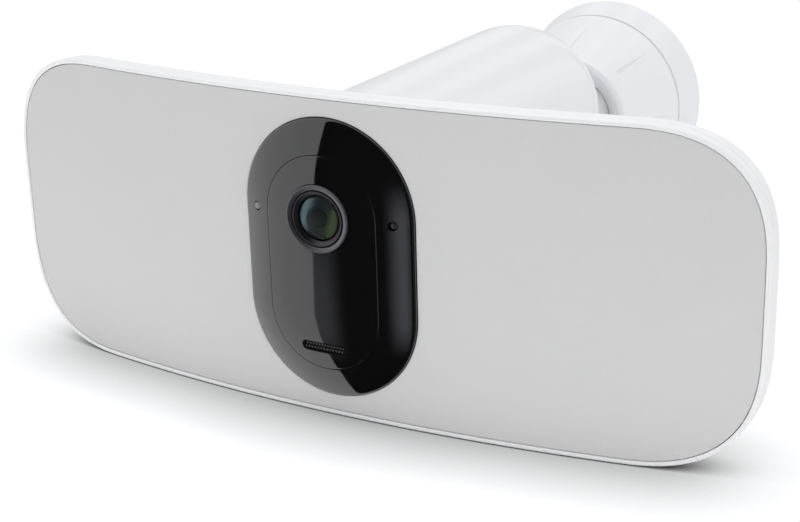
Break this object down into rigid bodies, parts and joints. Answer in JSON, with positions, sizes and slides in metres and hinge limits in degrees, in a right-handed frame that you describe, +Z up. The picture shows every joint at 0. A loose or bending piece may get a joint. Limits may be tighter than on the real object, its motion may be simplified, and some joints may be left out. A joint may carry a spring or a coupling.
{
  "type": "wall floodlight security camera",
  "caption": "Wide curved lamp panel with a central camera face on a pill-section battery housing, held by a ball mount with a twist collar on a round wall base.",
  "frame": {"origin": "centre of the wall base's back face", "axes": "+Y into the wall, the lens looks along -Y; +X to the right seen from the front; +Z up"},
  "size_m": [0.3702, 0.3199, 0.1446],
  "materials": {
    "mount_base": "white, satin gloss",
    "wall_gasket": "dark foam",
    "wall_screw_1": "zinc plated",
    "wall_screw_2": "zinc plated",
    "wall_screw_3": "zinc plated",
    "ball_socket": "filled nylon",
    "clamp_collar": "white, glossy",
    "friction_liner": "grey friction plastic",
    "pivot_core": "polished steel",
    "ball_stud": "white powder coat",
    "stud_nut": "zinc plated",
    "rear_housing": "white, glossy",
    "battery_pack": "dark fine texture",
    "battery_cap": "white, glossy",
    "battery_tray": "moulded grey",
    "battery_contacts": "gold plated",
    "battery_latch": "light grey, satin",
    "sync_button": "light grey, satin",
    "charge_socket": "black",
    "port_flap": "grey rubber",
    "bezel_frame": "white, satin gloss",
    "diffuser": "fine pale grey texture",
    "diffuser_seal": "foam",
    "rear_cover": "white, satin gloss",
    "housing_screw_1": "zinc plated",
    "housing_screw_2": "zinc plated",
    "housing_screw_3": "zinc plated",
    "housing_screw_4": "zinc plated",
    "reflector_tray": "bright white",
    "led_board_left": "white solder mask with yellow emitters",
    "led_board_right": "white solder mask with yellow emitters",
    "heat_spreader_left": "brushed sheet",
    "heat_spreader_right": "brushed sheet",
    "camera_fascia": "piano black",
    "face_plate": "piano black",
    "speaker_grille": "black",
    "speaker": "black moulded can",
    "microphone": "plated can",
    "ambient_sensor": "grey window",
    "status_led": "smoked window",
    "motion_sensor": "dark infrared window",
    "lens_ring": "dark grey satin",
    "front_glass": "coated glass",
    "lens_hood": "matt black",
    "lens_barrel": "matt black",
    "lens_element_1": "coated glass",
    "lens_element_2": "coated glass",
    "lens_element_3": "coated glass",
    "image_sensor": "sensor die under glass",
    "sensor_board": "green solder mask",
    "main_board": "green solder mask",
    "shield_can": "tinned",
    "antenna_left": "copper foil",
    "antenna_right": "copper foil"
  },
  "bodies": {
    "wall_mount": {"mount_base": "mount_base", "wall_gasket": "wall_gasket", "wall_screw_1": "wall_screw_1", "wall_screw_2": "wall_screw_2", "wall_screw_3": "wall_screw_3", "ball_socket": "ball_socket"},
    "collar": {"clamp_collar": "clamp_collar"},
    "liner": {"friction_liner": "friction_liner"},
    "core": {"pivot_core": "pivot_core"},
    "head": {"ball_stud": "ball_stud", "stud_nut": "stud_nut", "rear_housing": "rear_housing", "battery_tray": "battery_tray", "battery_contacts": "battery_contacts", "charge_socket": "charge_socket", "bezel_frame": "bezel_frame", "diffuser": "diffuser", "diffuser_seal": "diffuser_seal", "rear_cover": "rear_cover", "housing_screw_1": "housing_screw_1", "housing_screw_2": "housing_screw_2", "housing_screw_3": "housing_screw_3", "housing_screw_4": "housing_screw_4", "reflector_tray": "reflector_tray", "led_board_left": "led_board_left", "led_board_right": "led_board_right", "heat_spreader_left": "heat_spreader_left", "heat_spreader_right": "heat_spreader_right", "camera_fascia": "camera_fascia", "face_plate": "face_plate", "speaker_grille": "speaker_grille", "speaker": "speaker", "microphone": "microphone", "ambient_sensor": "ambient_sensor", "status_led": "status_led", "motion_sensor": "motion_sensor", "lens_ring": "lens_ring", "front_glass": "front_glass", "lens_hood": "lens_hood", "lens_barrel": "lens_barrel", "lens_element_1": "lens_element_1", "lens_element_2": "lens_element_2", "lens_element_3": "lens_element_3", "image_sensor": "image_sensor", "sensor_board": "sensor_board", "main_board": "main_board", "shield_can": "shield_can", "antenna_left": "antenna_left", "antenna_right": "antenna_right"},
    "battery": {"battery_pack": "battery_pack", "battery_cap": "battery_cap"},
    "latch": {"battery_latch": "battery_latch"},
    "sync": {"sync_button": "sync_button"},
    "flap": {"port_flap": "port_flap"}
  },
  "joints": [
    {"name": "collar_twist", "type": "hinge", "parent": "wall_mount", "child": "collar", "pos_m": [0, -0.043, 0], "axis": [0, 1, 0], "range_deg": [0, 60]},
    {"name": "head_roll", "type": "hinge", "parent": "wall_mount", "child": "liner", "pos_m": [0, -0.043, 0], "axis": [0, 1, 0], "range_deg": [-45, 45]},
    {"name": "head_pan", "type": "hinge", "parent": "liner", "child": "core", "pos_m": [0, -0.043, 0], "axis": [0, 0, 1], "range_deg": [-25, 25]},
    {"name": "head_tilt", "type": "hinge", "parent": "core", "child": "head", "pos_m": [0, -0.043, 0], "axis": [1, 0, 0], "range_deg": [-25, 25]},
    {"name": "battery_slide", "type": "slide", "parent": "head", "child": "battery", "axis": [0, 0, -1], "range_m": [0, 0.104]},
    {"name": "latch_slide", "type": "slide", "parent": "head", "child": "latch", "axis": [0, 1, 0], "range_m": [0, 0.004], "stiffness_N_per_m": 400},
    {"name": "sync_press", "type": "slide", "parent": "head", "child": "sync", "axis": [0, 0, 1], "range_m": [0, 0.0012], "stiffness_N_per_m": 900},
    {"name": "flap_open", "type": "hinge", "parent": "head", "child": "flap", "pos_m": [0, -0.265, -0.0646], "axis": [1, 0, 0], "range_deg": [0, 90]}
  ]
}
